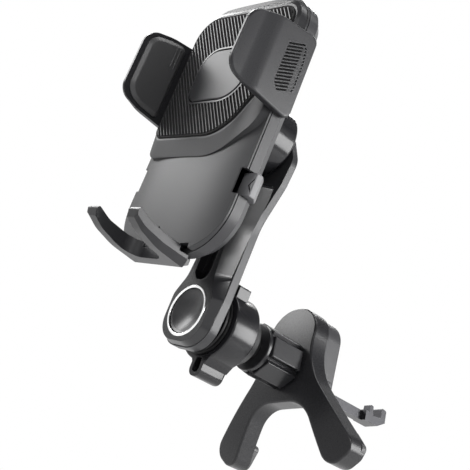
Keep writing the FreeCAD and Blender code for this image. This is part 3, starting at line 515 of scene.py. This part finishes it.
# Upper ball joint: a smooth nut of gloss ABS from a polished mould, screwed over a split seat of acetal,
# which grips a black-oxided steel ball, dark with a dull gloss; its stud is riveted through the rear plate.
dress(moulded_plastic("gloss_abs", "#1e1e20", 0.18, 0.30, 0.0008), "swivel_nut")
dress(acetal, "cradle_ball_cup", "cradle_ball_ring")
oxide, tree = new_material("black_oxide_steel")
place = add_node(tree, "ShaderNodeTexCoord")
grain = add_node(tree, "ShaderNodeTexNoise", {"Scale": 2600.0, "Detail": 2.0},
                 {"Vector": place.outputs["Object"]})
dull = add_node(tree, "ShaderNodeMapRange", {3: 0.26, 4: 0.40}, {0: grain.outputs["Fac"]})
fine = add_node(tree, "ShaderNodeBump", {"Strength": 1.0, "Distance": 0.000006},
                {"Height": grain.outputs["Fac"]})
shade = add_node(tree, "ShaderNodeBsdfPrincipled", {"Base Color": linear("#3e3e40"), "Metallic": 1.0},
                 {"Roughness": dull.outputs[0], "Normal": fine.outputs[0]})
add_node(tree, "ShaderNodeOutputMaterial", {}, {"Surface": shade.outputs[0]})
dress(oxide, "cradle_ball_stud")

# Arm: glossy moulded front body with a long slot, and behind it a satin rear plate of the same ABS, welded
# on; the plate goes on up alone to the upper ball joint.
dress(moulded_plastic("arm_abs", "#1e1e20", 0.22, 0.25, 0.0015, specular=0.38), "arm_front_body")
dress(moulded_plastic("plate_abs", "#2c2c2e", 0.34, 0.25, 0.006), "arm_rear_plate")

# Eye: polished aluminium ring pressed round the pivot's cap, whose face is a smooth deep dish. The cap is
# turned: its front is set in step by step along a parabola, and its shaft runs back through the arm.
# The ring's turning marks are too fine to see and only make its gloss uneven.
trim, tree = new_material("polished_aluminium")
place = add_node(tree, "ShaderNodeTexCoord")
marks = add_node(tree, "ShaderNodeTexNoise", {"Scale": 900.0, "Detail": 2.0},
                 {"Vector": place.outputs["Object"]})
gloss = add_node(tree, "ShaderNodeMapRange", {3: 0.12, 4: 0.22}, {0: marks.outputs["Fac"]})
shade = add_node(tree, "ShaderNodeBsdfPrincipled", {"Base Color": linear("#f6f6f6"), "Metallic": 1.0},
                 {"Roughness": gloss.outputs[0]})
add_node(tree, "ShaderNodeOutputMaterial", {}, {"Surface": shade.outputs[0]})
dress(trim, "eye_trim_ring")


def disc_y(name, radius, y_front, y_back):
    """A round disc about the eye's axis, in millimetres."""
    thick = (y_back - y_front) / 1000.0
    middle = spot(0, (y_front + y_back) / 2.0, 0)
    bpy.ops.object.select_all(action="DESELECT")
    bpy.ops.mesh.primitive_cylinder_add(vertices=96, radius=radius / 1000.0, depth=thick,
                                        location=middle, rotation=(math.pi / 2.0, 0, 0))
    made = bpy.context.active_object
    made.name = name
    bpy.ops.object.transform_apply(location=True, rotation=True, scale=True)
    return made


CAP_R = 9.45
CAP_FRONT = 0.3
DISH_R = 9.15
DISH_DEPTH = 2.45
DISH_RIM = 0.35
DISH_STEP = 0.75
cap = disc_y("dished_cap", CAP_R, CAP_FRONT, 3.3)
bpy.ops.object.mode_set(mode="EDIT")
pick(cap, "FACE", lambda m, f: len(f.verts) > 8 and m.y < spot(0, CAP_FRONT + 0.1, 0).y)
reach = CAP_R
depth = 0.0
while reach >= 0.8:
    narrower = reach - (DISH_RIM if reach == CAP_R else DISH_STEP)
    deeper = DISH_DEPTH * (1.0 - (narrower / DISH_R) ** 2)
    bpy.ops.mesh.inset(thickness=(reach - narrower) / 1000.0, depth=-(deeper - depth) / 1000.0)
    reach = narrower
    depth = deeper
bpy.ops.object.mode_set(mode="OBJECT")
boolean(cap, disc_y("cap_shaft", 6.5, 3.0, 13.0), "UNION")
finished([cap], "dished_cap", moulded_plastic("cap_abs", "#2a2a2c", 0.30, 0.25, 0.002, specular=0.35),
         "pivot_head", "pivot")

# Pivot behind the arm: a black rubber damping disc with a groove round its rim, and the acetal socket and
# seat of the lower ball. The disc's section is drawn once and spun round the axis.
DISC_WIDE = 6.84
DISC_THICK = 3.2
GROOVE_DEPTH = 0.9
section = spot(9.98, 11.1, 0)
rim_x = section.x + (DISC_WIDE / 2.0 - 0.1) / 1000.0
bpy.ops.object.select_all(action="DESELECT")
bpy.ops.mesh.primitive_plane_add(size=1.0, location=section)
disc = bpy.context.active_object
disc.scale = (DISC_WIDE / 1000.0, DISC_THICK / 1000.0, 1.0)
bpy.ops.object.transform_apply(location=True, rotation=True, scale=True)
bpy.ops.object.mode_set(mode="EDIT")
pick(disc, "EDGE", lambda m, e: m.x > rim_x)
bpy.ops.mesh.subdivide(number_cuts=5)
pick(disc, "VERT", lambda m, v: m.x > rim_x and abs(m.y - section.y) < 0.0002)
bpy.ops.transform.translate(value=(-GROOVE_DEPTH / 1000.0, 0, 0))
pick(disc, "VERT", lambda m, v: m.x > rim_x and abs(m.y - section.y) > 0.0015)
bpy.ops.mesh.bevel(offset=0.0003, segments=3, affect="VERTICES")
bpy.ops.mesh.select_all(action="SELECT")
bpy.ops.mesh.delete(type="ONLY_FACE")
bpy.ops.mesh.select_all(action="SELECT")
bpy.ops.mesh.spin(steps=96, angle=2.0 * math.pi, center=(0, 0, 0), axis=(0, 1, 0))
bpy.ops.mesh.select_all(action="SELECT")
bpy.ops.mesh.remove_doubles(threshold=0.00001)
bpy.ops.mesh.normals_make_consistent(inside=False)
bpy.ops.object.mode_set(mode="OBJECT")
disc_rubber = moulded_plastic("black_nitrile_rubber", "#0a0a0b", 0.50, 0.40, 0.004, specular=0.15,
                              edge_mm=0.1)
finished([disc], "rubber_disc", disc_rubber, "damping_disc", "pivot")
dress(acetal, "pivot_socket", "clip_ball_cup", "clip_ball_ring", "clip_ball")

# Tightening collar: a moulded ring of gloss ABS round the socket, with a short thumb tab above and a looped
# ear below, which gives when the collar is turned. Ring, tab, ear and the ear's hole are made apart.
COLLAR_R = 15.5
BORE_R = 12.26
COLLAR_FRONT = 13.0
COLLAR_BACK = 26.0
EAR_THICK = 12.8
TAB = [(4.8, 12.0, 0.1), (8.9, 11.4, 0.1), (8.9, 17.85, 0.9), (4.8, 17.85, 0.9)]
EAR_ROOT = [(-4.4, -12.5, 0.1), (-1.6, -16.4, 0.1), (5.9, -16.4, 0.1), (9.2, -11.4, 0.1)]
EAR = [(-1.5, -13.0, 0.1), (-1.5, -22.1, 3.3), (5.8, -22.1, 3.3), (5.8, -13.0, 0.1)]
EAR_HOLE = [(0.5, -14.2, 0.9), (3.9, -14.2, 0.9), (4.3, -20.5, 1.9), (0.0, -20.5, 1.9)]
collar = disc_y("gloss_collar", COLLAR_R, COLLAR_FRONT, COLLAR_BACK)
round_edges(collar, 0.7, 4, lambda m, e: Vector((m.x, m.z)).length > (COLLAR_R - 0.5) / 1000.0
            and abs(e.verts[0].co.y - e.verts[1].co.y) < 0.0001)
tab = plate_y("thumb_tab", TAB, COLLAR_FRONT + 0.6, 6.2)
ear_root = plate_y("ear_root", EAR_ROOT, COLLAR_FRONT, EAR_THICK)
ear = plate_y("ear", EAR, COLLAR_FRONT, EAR_THICK)
round_edges(ear, 1.2, 4, lambda m, e: m.y > spot(0, 25.7, 0).y and m.z < -0.0135)
for block in (tab, ear_root, ear):
    boolean(collar, block, "UNION")
boolean(collar, disc_y("collar_bore", BORE_R, COLLAR_FRONT - 1.0, COLLAR_BACK + 1.0), "DIFFERENCE")
boolean(collar, plate_y("ear_hole", EAR_HOLE, COLLAR_FRONT - 1.0, 11.0), "DIFFERENCE")
finished([collar], "gloss_collar", moulded_plastic("collar_abs", "#1c1c1e", 0.22, 0.25, 0.0015),
         "tightening_collar", "collar")

# Clip: ribbed nut, dished plate with two splayed legs, and the rear block that guides the hook, all of
# moulded ABS. Nut and plate are glossy, and the block, which is screwed to the plate, is satin.
dress(moulded_plastic("nut_abs", "#202022", 0.24, 0.25, 0.002), "ribbed_nut")
dress(moulded_plastic("clip_abs", "#202022", 0.28, 0.25, 0.003), "clip_body")
dress(moulded_plastic("block_abs", "#363638", 0.34, 0.25, 0.006), "clip_rear_block")

# Vent pads: two moulded silicone shoes, glued behind the clip's feet and cut to their outline. Grooves
# across them grip the vent's slats. They are modelled upright and then turned with the clip.
FOOT_EDGE = [(38.3, -32.6, 2.4), (36.6, -36.4, 4.6), (28.4, -42.9, 4.2), (25.2, -38.4, 2.8),
             (21.6, -31.0, 2.0), (31.5, -25.2, 2.0)]
SHOE_BACK = 75.0
GROOVES = (-39.4, -36.1, -32.8, -29.5)
GROOVE_TURN = 52.0
CLIP_TURN = 13.8
for side, name in ((1, "right_vent_pad"), (-1, "left_vent_pad")):
    shoe = cut_plate(name + "_shoe", FOOT_EDGE, lambda u, v: spot(side * u, SHOE_BACK, v),
                     Vector((0, -0.0030, 0)))
    round_edges(shoe, 0.7, 4, lambda m, e: m.y > spot(0, SHOE_BACK - 0.1, 0).y)
    for z in GROOVES:
        groove = bar("groove", spot(-16.0, 74.3, -0.5), spot(16.0, 76.0, 0.5), 0.2, lambda m, e: False)
        groove.matrix_world = (Matrix.Translation(spot(side * 30.4, SHOE_BACK, z))
                               @ Matrix.Rotation(math.radians(side * GROOVE_TURN), 4, "Y")
                               @ Matrix.Translation(-spot(0, SHOE_BACK, 0)))
        boolean(shoe, groove, "DIFFERENCE")
    shoe.matrix_world = Matrix.Rotation(math.radians(-CLIP_TURN), 4, "Y")
    finished([shoe], name + "_shoe", silicone, name, "clip")

# Hook: a flattened steel drawbar with an upturned jaw, forged and then black-oxided like the ball stud.
# The ribbed nut draws it in against the vent.
dress(oxide, "hook")
